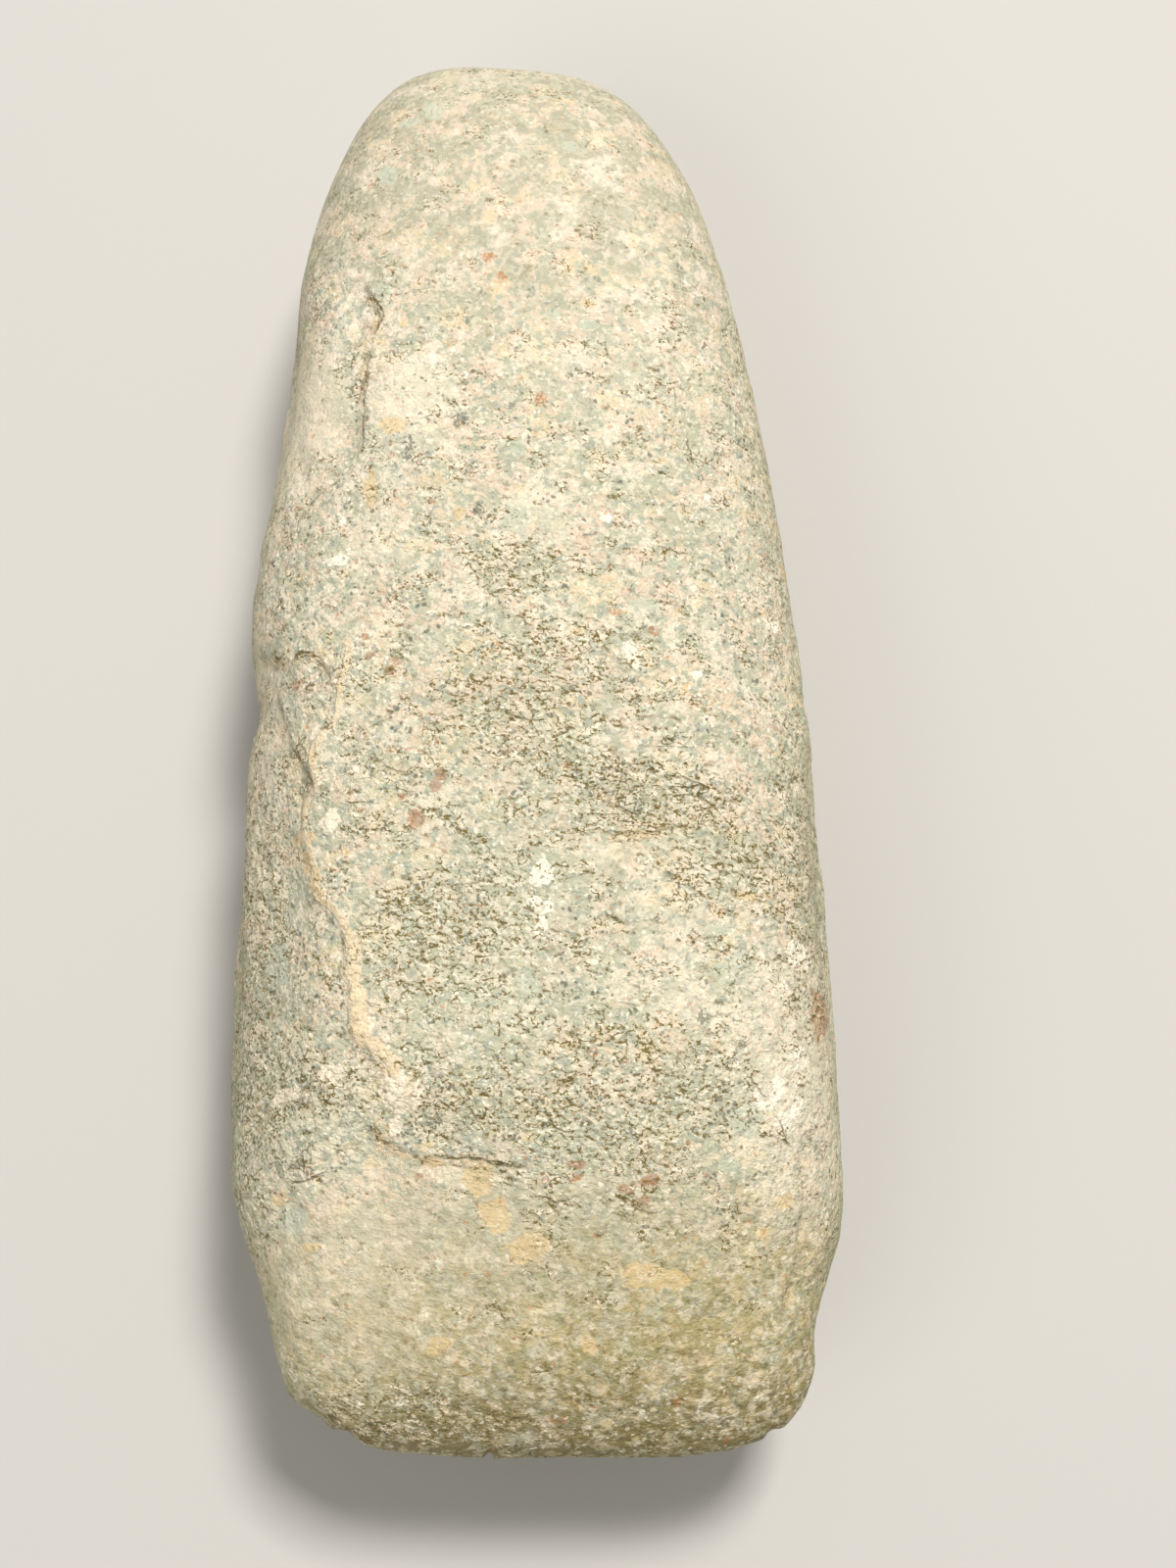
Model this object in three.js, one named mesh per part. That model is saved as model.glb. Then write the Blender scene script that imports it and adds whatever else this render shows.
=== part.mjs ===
// A ground stone axe head, lying on one broad face. Millimetres, +Z up.
// +Y runs from the cutting edge to the poll, +X to the right of someone looking along +Y.
// The origin is on the ground under the middle of the stone.

import * as THREE from "three";

// Overall sizes of the stone before its ends are bowed and its underside is worn
const AXE_LENGTH = 151;
const AXE_WIDTH = 61;
const AXE_THICKNESS = 38;

// Blade: the cutting edge, its two corners and the bevel ground behind it
const EDGE_WIDTH = 43;
const EDGE_THICKNESS = 2.4;
const EDGE_BOW = 2.2;
const EDGE_SLANT = 2;
const CORNER_LENGTH = 25;
const BEVEL_LENGTH = 42;

// Poll: the blunt butt, pecked round with a small flat at its end
const POLL_LENGTH = 30;
const POLL_NOSE = 24;
const POLL_FLAT_WIDTH = 17;
const POLL_FLAT_THICKNESS = 8;
const POLL_BOW = 0.6;
const POLL_SLANT = 2.6;

// How deep the underside is worn flat where the stone lies
const REST_WEAR = 1.1;

// Places as shares of the length, counted from the cutting edge
const WIDEST_AT = 0.28;
const THICKEST_AT = 0.4;

// How much the sides and the two broad faces close in between there and the poll
const SIDE_TAPER = 0.76;
const FACE_TAPER = 0.62;

// Powers of the rounded outlines: 2 is an ellipse, more is squarer, less is sharper
const SECTION_POWER = 2.5;
const CORNER_POWER = 1.9;
const BEVEL_POWER = 1.62;
const POLL_POWER = 2.5;
const BOW_POWER = 4;

// Which faces a scar bites into, and how its rim starts
const UPPER = 1;
const UNDER = -1;
const BOTH = 0;
const CRISP = 1;
const SOFT = 2;

// Flake scars, hollows and worn margins left in the stone. along and long are shares of
// the length, across and broad of the half width, and deep of the thickness.
const SCARS = [
  // left flank: the flake under the poll, the long worn margin, the notch at mid length
  { along: 0.735, across: -0.93, long: 0.22, broad: 0.5, deep: 0.042, face: UPPER, rim: CRISP },
  { along: 0.33, across: -0.86, long: 0.5, broad: 0.54, deep: 0.055, face: UPPER, rim: SOFT },
  { along: 0.51, across: -0.98, long: 0.07, broad: 0.4, deep: 0.035, face: BOTH, rim: CRISP },
  { along: 0.79, across: -1.02, long: 0.14, broad: 0.4, deep: 0.022, face: BOTH, rim: SOFT },
  // right flank: the narrow worn margin
  { along: 0.36, across: 1.03, long: 0.46, broad: 0.3, deep: 0.04, face: UPPER, rim: SOFT },
  // upper face: two pecked hollows
  { along: 0.405, across: 0.38, long: 0.085, broad: 0.7, deep: 0.022, face: UPPER, rim: SOFT },
  { along: 0.33, across: -0.2, long: 0.13, broad: 0.8, deep: 0.014, face: UPPER, rim: SOFT },
  // blade: the flake behind the left corner, the worn left corner, the spalled right one
  { along: 0.135, across: -0.42, long: 0.19, broad: 1.1, deep: 0.03, face: UPPER, rim: CRISP },
  { along: 0.09, across: -0.98, long: 0.18, broad: 0.42, deep: 0.05, face: BOTH, rim: CRISP },
  { along: 0.085, across: 1.0, long: 0.09, broad: 0.34, deep: 0.045, face: BOTH, rim: CRISP },
  // edge: a nick left of the middle and the battered left end
  { along: 0.0, across: -0.12, long: 0.022, broad: 0.16, deep: 0.016, face: BOTH, rim: SOFT },
  { along: 0.02, across: -0.78, long: 0.07, broad: 0.36, deep: 0.05, face: BOTH, rim: SOFT },
  // under face: three flakes
  { along: 0.6, across: 0.86, long: 0.26, broad: 0.5, deep: 0.04, face: UNDER, rim: CRISP },
  { along: 0.42, across: -0.88, long: 0.2, broad: 0.46, deep: 0.036, face: UNDER, rim: CRISP },
  { along: 0.12, across: 0.34, long: 0.14, broad: 0.8, deep: 0.026, face: UNDER, rim: CRISP },
];

// Stations along the stone and how far they crowd towards its ends, and points round
// each section: an even number
const STATIONS = 52;
const CROWDING = 0.65;
const ROUND_POINTS = 68;

// Height of the middle plane: the wear comes off the underside.
const MIDDLE = AXE_THICKNESS / 2 - REST_WEAR;

// Share of a rounded end's full size at a distance from its tip: 0 there, 1 past its length.
function roundedEnd(distance, length, power) {
  const left = Math.max(0, 1 - distance / length);
  return Math.max(0, 1 - left ** power) ** (1 / power);
}

// A size that starts at tip, where the end is, and grows to full in a rounded outline.
function growFrom(tip, full, share) {
  return tip + (full - tip) * share;
}

// Half width of the section at a distance from the cutting edge.
function halfWidth(distance) {
  const away = distance / AXE_LENGTH - WIDEST_AT;
  const body = (AXE_WIDTH / 2) * (1 - SIDE_TAPER * away * away);
  const blade = growFrom(
    EDGE_WIDTH / 2,
    body,
    roundedEnd(distance, CORNER_LENGTH, CORNER_POWER),
  );
  const poll = roundedEnd(AXE_LENGTH - distance, POLL_LENGTH, POLL_POWER);
  return growFrom(POLL_FLAT_WIDTH / 2, blade, poll);
}

// Half thickness of the section at a distance from the cutting edge.
function halfThickness(distance) {
  const away = Math.max(0, distance / AXE_LENGTH - THICKEST_AT);
  const body = (AXE_THICKNESS / 2) * (1 - FACE_TAPER * away * away);
  const blade = growFrom(
    EDGE_THICKNESS / 2,
    body,
    roundedEnd(distance, BEVEL_LENGTH, BEVEL_POWER),
  );
  const poll = roundedEnd(AXE_LENGTH - distance, POLL_NOSE, POLL_POWER);
  return growFrom(POLL_FLAT_THICKNESS / 2, blade, poll);
}

// How far a section is pushed towards the poll at a share of its half width. The first ones
// follow the cutting edge, which is bowed and lowest on the right, and the last ones the poll,
// which is bowed less and highest on the left.
function endCurve(distance, share) {
  const bow = Math.abs(share) ** BOW_POWER;
  const nearEdge = Math.max(0, 1 - distance / (AXE_LENGTH / 2)) ** 2;
  const nearPoll = Math.max(0, distance / (AXE_LENGTH / 2) - 1) ** 2;
  const edge = EDGE_BOW * bow + (EDGE_SLANT * (1 - share)) / 2;
  const poll = POLL_BOW * bow + (POLL_SLANT * (1 + share)) / 2;
  return nearEdge * edge - nearPoll * poll;
}

// Distances of the stations, closer together at both ends.
function stationDistance(station) {
  const even = station / (STATIONS - 1);
  const crowded = (1 - Math.cos(Math.PI * even)) / 2;
  return AXE_LENGTH * growFrom(even, crowded, CROWDING);
}

// A point of the section's superellipse, as shares of its half sizes.
function sectionPoint(turn) {
  const power = 2 / SECTION_POWER;
  const c = Math.cos(turn);
  const s = Math.sin(turn);
  return {
    across: Math.sign(c) * Math.abs(c) ** power,
    up: Math.sign(s) * Math.abs(s) ** power,
  };
}

// Points of the unscarred stone, station after station.
function bodyPoints() {
  const points = [];
  for (let station = 0; station < STATIONS; station++) {
    const distance = stationDistance(station);
    const wide = halfWidth(distance);
    const thick = halfThickness(distance);
    for (let i = 0; i < ROUND_POINTS; i++) {
      const { across, up } = sectionPoint((2 * Math.PI * i) / ROUND_POINTS);
      const y = distance - AXE_LENGTH / 2 + endCurve(distance, across);
      points.push(across * wide, y, MIDDLE + up * thick);
    }
  }
  return points;
}

// Triangles between neighbouring stations, and across the first and the last one.
function bodyTriangles() {
  const triangles = [];
  const add = (a, b, c) => {
    if (a !== b && b !== c && c !== a) {
      triangles.push(a, b, c);
    }
  };
  const quad = (a, b, c, d) => {
    add(a, b, c);
    add(a, c, d);
  };
  const at = (station, i) => station * ROUND_POINTS + (i % ROUND_POINTS);
  const last = STATIONS - 1;
  for (let station = 0; station < last; station++) {
    const next = station + 1;
    for (let i = 0; i < ROUND_POINTS; i++) {
      quad(at(station, i), at(next, i), at(next, i + 1), at(station, i + 1));
    }
  }
  for (let i = 0; i < ROUND_POINTS / 2; i++) {
    const below = ROUND_POINTS - i;
    quad(at(0, i), at(0, i + 1), at(0, below - 1), at(0, below));
    quad(at(last, i), at(last, below), at(last, below - 1), at(last, i + 1));
  }
  return triangles;
}

// Depth of one scar at a point, in millimetres.
function scarDepth(scar, point) {
  if (scar.face * (point.z - MIDDLE) < 0) {
    return 0;
  }
  const along = (point.y / AXE_LENGTH + 0.5 - scar.along) / (scar.long / 2);
  const across = (point.x / (AXE_WIDTH / 2) - scar.across) / (scar.broad / 2);
  const inside = Math.max(0, 1 - along * along - across * across);
  return scar.deep * AXE_THICKNESS * inside ** scar.rim;
}

// The stone with its scars sunk in along its own surface and its underside worn flat,
// with its box centred over the origin.
function axeGeometry() {
  const geometry = new THREE.BufferGeometry();
  geometry.setAttribute("position", new THREE.Float32BufferAttribute(bodyPoints(), 3));
  geometry.setIndex(bodyTriangles());
  geometry.computeVertexNormals();
  const position = geometry.getAttribute("position");
  const normal = geometry.getAttribute("normal");
  const point = new THREE.Vector3();
  const outward = new THREE.Vector3();
  for (let i = 0; i < position.count; i++) {
    point.fromBufferAttribute(position, i);
    outward.fromBufferAttribute(normal, i);
    const depth = SCARS.reduce((sum, scar) => sum + scarDepth(scar, point), 0);
    point.addScaledVector(outward, -depth);
    position.setXYZ(i, point.x, point.y, Math.max(0, point.z));
  }
  geometry.computeBoundingBox();
  const middle = geometry.boundingBox.getCenter(new THREE.Vector3());
  geometry.translate(-middle.x, -middle.y, 0);
  geometry.computeVertexNormals();
  return geometry;
}

// Greenstone: fine-grained, grey-green under a pale weathered skin, ground and not shiny.
function stoneMaterial() {
  return new THREE.MeshStandardMaterial({
    color: 0xc9bf9f,
    roughness: 0.85,
    metalness: 0,
  });
}

function stoneAxe() {
  const group = new THREE.Group();
  const axe = new THREE.Mesh(axeGeometry(), stoneMaterial());
  axe.name = "stone_axe_head";
  group.add(axe);
  return group;
}

export default stoneAxe();
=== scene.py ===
# A ground stone axe head in a plain studio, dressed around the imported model. Metres, +Z up.
# The stone lies on one broad face, with its cutting edge towards -Y and its butt towards +Y.

import math

import bmesh
import bpy
import numpy as np
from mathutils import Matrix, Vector, noise


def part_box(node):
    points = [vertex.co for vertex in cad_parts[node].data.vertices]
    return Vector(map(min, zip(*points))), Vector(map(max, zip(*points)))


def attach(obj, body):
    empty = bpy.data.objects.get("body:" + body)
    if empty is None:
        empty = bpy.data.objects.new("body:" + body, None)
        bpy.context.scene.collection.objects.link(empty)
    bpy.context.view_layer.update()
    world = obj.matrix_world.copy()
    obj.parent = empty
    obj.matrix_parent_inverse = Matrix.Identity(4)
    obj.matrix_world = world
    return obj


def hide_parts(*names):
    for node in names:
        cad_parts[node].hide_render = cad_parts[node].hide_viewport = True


bl_info = {
    "name": "Stone Axe Head",
    "version": (1, 0, 0),
    "blender": (4, 5, 0),
    "location": "View3D > Sidebar > Stone Axe",
    "description": "Gives a ground stone axe head its relief and weathered skin, and lights it",
    "category": "Add Mesh",
}

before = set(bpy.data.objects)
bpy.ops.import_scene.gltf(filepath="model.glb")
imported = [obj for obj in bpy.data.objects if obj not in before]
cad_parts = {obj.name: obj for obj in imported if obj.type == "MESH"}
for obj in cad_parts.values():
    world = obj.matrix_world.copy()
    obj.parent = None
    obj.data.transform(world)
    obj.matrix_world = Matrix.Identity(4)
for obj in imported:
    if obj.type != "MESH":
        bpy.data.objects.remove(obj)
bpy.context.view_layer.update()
STONE_NODE = "stone_axe_head"
DRESSED_NAME = "ground_stone_axe"
BOX_LOW, BOX_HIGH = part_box(STONE_NODE)
LENGTH = BOX_HIGH.y - BOX_LOW.y
HALF_WIDTH = (BOX_HIGH.x - BOX_LOW.x) / 2
MM = 0.001

# Sizes of the relief, in millimetres
WOBBLE_SIZE = 4.5
UNEVEN_SIZE = 5.0
SWELL_SIZE = 9.0
PECK_PATCH = 7.0
LIP_WIDTH = 0.35
VEIN_WIDTH = 0.9
VEIN_HEIGHT = 0.25

# How far painted shade, dirt and colour run on past the end of a line, in millimetres
LINE_FADE = 1.5
CRACK_FADE = 0.6

# Which noise each part of the relief takes
WOBBLE_SEED = 11
UNEVEN_SEED = 5
SWELL_SEED = 3

# The most that wear adds up to, and the level that a stain has far away from its spots
WORN_LIMIT = 1.4
FAR_LEVEL = -3.0

# How the even mesh is made: rounds of subdivision, and rounds and strength of its relaxing
ROUNDING_LEVELS = 2
RELAX_ROUNDS = 10
RELAX_FACTOR = 0.5

# The lowest corner that a point of the relief may reach, in metres: the floor is at 0
LOWEST_CORNER = (-1.0, -1.0, 0.0)

# A place on the stone is (along, across): the share of the length counted from the cutting
# edge, and the share of the half width counted from the middle, left being negative.

# A scarp is a low step left by a flake. The low ground is on the left of someone who walks
# its path. Each has its drop at the line and how far the low ground runs on, in millimetres,
# and how strongly its foot is darkened with painted shade, a dark seam that stands in for
# the step's shadow; the same share also sets its lips and rubbed border.
SCARPS = (
    # the flake on the left flank under the butt, and the soft ridge that ends it
    {
        "path": (
            (0.644, -0.573), (0.666, -0.519), (0.688, -0.503), (0.712, -0.503), (0.740, -0.472),
            (0.762, -0.456), (0.781, -0.480),
        ),
        "drop": 0.4,
        "reach": 6.0,
        "dirt_and_painted_shade": 0.45,
    },
    {
        "path": ((0.600, -0.86), (0.627, -0.705), (0.650, -0.56)),
        "drop": 0.3,
        "reach": 6.0,
        "dirt_and_painted_shade": 0.0,
    },
    # the notch at mid length on the left, and the crease above it
    {
        "path": ((0.425, -0.670), (0.439, -0.697), (0.452, -0.740), (0.487, -0.796)),
        "drop": 0.5,
        "reach": 4.0,
        "dirt_and_painted_shade": 0.35,
    },
    {
        "path": ((0.499, -0.617), (0.511, -0.644), (0.519, -0.698), (0.515, -0.747), (0.528, -0.85)),
        "drop": 0.35,
        "reach": 4.0,
        "dirt_and_painted_shade": 0.5,
    },
    # the worn margin left of the vein
    {
        "path": (
            (0.241, -0.45), (0.262, -0.54), (0.300, -0.56), (0.334, -0.60), (0.375, -0.70), (0.407, -0.70),
        ),
        "drop": 0.35,
        "reach": 5.0,
        "dirt_and_painted_shade": 0.15,
    },
    # the ledge where the smooth bevel begins, the strand below it and its broken left part
    {
        "path": (
            (0.180, -0.113), (0.182, -0.190), (0.184, -0.255), (0.186, -0.309), (0.188, -0.383),
            (0.192, -0.434), (0.198, -0.478),
        ),
        "drop": 0.45,
        "reach": 5.0,
        "dirt_and_painted_shade": 0.5,
    },
    {
        "path": (
            (0.216, -0.448), (0.210, -0.522), (0.217, -0.576), (0.222, -0.638), (0.221, -0.703),
            (0.227, -0.772), (0.221, -0.9),
        ),
        "drop": 0.3,
        "reach": 5.0,
        "dirt_and_painted_shade": 0.1,
    },
    # the rim of the smooth cream patch above the ledge
    {
        "path": ((0.236, -0.338), (0.214, -0.410), (0.233, -0.480)),
        "drop": 0.25,
        "reach": 2.0,
        "dirt_and_painted_shade": 0.4,
    },
    # the worn left corner and the spalled right one
    {
        "path": ((0.105, -0.66), (0.124, -0.692), (0.139, -0.715)),
        "drop": 0.25,
        "reach": 3.5,
        "dirt_and_painted_shade": 0.2,
    },
    {
        "path": ((0.18, 0.83), (0.151, 0.83), (0.1, 0.77), (0.07, 0.75)),
        "drop": 0.4,
        "reach": 4.0,
        "dirt_and_painted_shade": 0.15,
    },
    # the lower lip of the pecked hollow on the right
    {
        "path": ((0.384, 0.637), (0.384, 0.505), (0.383, 0.382), (0.385, 0.214)),
        "drop": -0.2,
        "reach": 3.0,
        "dirt_and_painted_shade": 0.5,
    },
)

# A hollow has its size along and across, and its depth, in millimetres. A swelling is
# a hollow of negative depth.
HOLLOWS = (
    {"at": (0.405, 0.38), "size": (9.0, 15.0), "deep": 0.25},
    {"at": (0.155, -0.77), "size": (3.6, 4.4), "deep": 0.45},
    {"at": (0.092, -0.34), "size": (1.4, 2.0), "deep": 0.4},
    {"at": (0.473, 0.93), "size": (6.0, 4.0), "deep": -0.5},
    {"at": (0.584, -0.64), "size": (6.0, 6.0), "deep": -0.25},
    {"at": (0.226, -0.41), "size": (5.0, 5.0), "deep": -0.3},
    {"at": (0.5, -0.93), "size": (5.0, 4.0), "deep": 0.5},
    {"at": (0.0, -0.163), "size": (3.2, 1.2), "deep": 0.9},
    {"at": (0.015, -0.64), "size": (3.4, 4.0), "deep": 0.7},
    {"at": (0.008, 0.73), "size": (3.0, 2.2), "deep": 0.5},
)

# The pale vein that stands a little proud along the left margin.
VEIN = (
    (0.521, -0.564), (0.509, -0.554), (0.490, -0.564), (0.475, -0.570), (0.461, -0.610), (0.449, -0.656),
    (0.437, -0.666), (0.423, -0.663), (0.413, -0.677), (0.396, -0.698), (0.375, -0.677), (0.353, -0.652),
    (0.334, -0.577), (0.323, -0.549), (0.309, -0.549), (0.293, -0.537), (0.281, -0.528), (0.266, -0.519),
    (0.256, -0.507), (0.248, -0.462), (0.237, -0.424),
)

# Short cracks and grooves filled with dirt, each the line that it follows.
CRACKS = (
    ((0.471, -0.083), (0.463, -0.037), (0.457, 0.024), (0.455, 0.064)),
    ((0.526, -0.817), (0.515, -0.747), (0.519, -0.698), (0.512, -0.65)),
    ((0.487, -0.796), (0.473, -0.758), (0.46, -0.719), (0.446, -0.683)),
    ((0.452, -0.74), (0.437, -0.694), (0.425, -0.67)), ((0.385, 0.211), (0.384, 0.327)),
    ((0.42, 0.327), (0.411, 0.387), (0.403, 0.423), (0.398, 0.477), (0.393, 0.52)),
    ((0.393, 0.564), (0.403, 0.623), (0.407, 0.675)), ((0.46, 0.382), (0.46, 0.46), (0.455, 0.5)),
    ((0.292, -0.593), (0.283, -0.568), (0.273, -0.556), (0.263, -0.55)),
    ((0.205, 0.031), (0.2, 0.065), (0.197, 0.115), (0.198, 0.168)),
    ((0.156, 0.043), (0.153, 0.102), (0.156, 0.153)), ((0.695, 0.537), (0.682, 0.541), (0.672, 0.526)),
    ((0.67, 0.572), (0.657, 0.575), (0.646, 0.589)), ((0.178, -0.598), (0.177, -0.67), (0.176, -0.742)),
    ((0.218, -0.872), (0.207, -0.825), (0.197, -0.773)),
    ((0.439, -0.475), (0.432, -0.418), (0.428, -0.365)),
    ((0.326, 0.261), (0.321, 0.339), (0.324, 0.394)), ((0.152, 0.279), (0.147, 0.353), (0.146, 0.457)),
    ((0.414, -0.586), (0.408, -0.539), (0.408, -0.491)),
    ((0.227, 0.685), (0.21, 0.744), (0.192, 0.778), (0.18, 0.808)),
    ((0.185, -0.255), (0.183, -0.19), (0.179, -0.116)),
    ((0.778, -0.463), (0.762, -0.452), (0.747, -0.466)),
    ((0.714, -0.499), (0.701, -0.499), (0.688, -0.503), (0.676, -0.516), (0.666, -0.523)),
    ((0.646, -0.566), (0.636, -0.624), (0.629, -0.705)), ((0.408, 0.356), (0.397, 0.4), (0.39, 0.476)),
    ((0.385, 0.382), (0.387, 0.475), (0.385, 0.552)), ((0.416, 0.26), (0.411, 0.33), (0.404, 0.40)),
    ((0.402, 0.25), (0.399, 0.32), (0.394, 0.38)), ((0.411, 0.45), (0.406, 0.53), (0.399, 0.60)),
    ((0.423, 0.42), (0.418, 0.50), (0.412, 0.57)),
)

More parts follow.
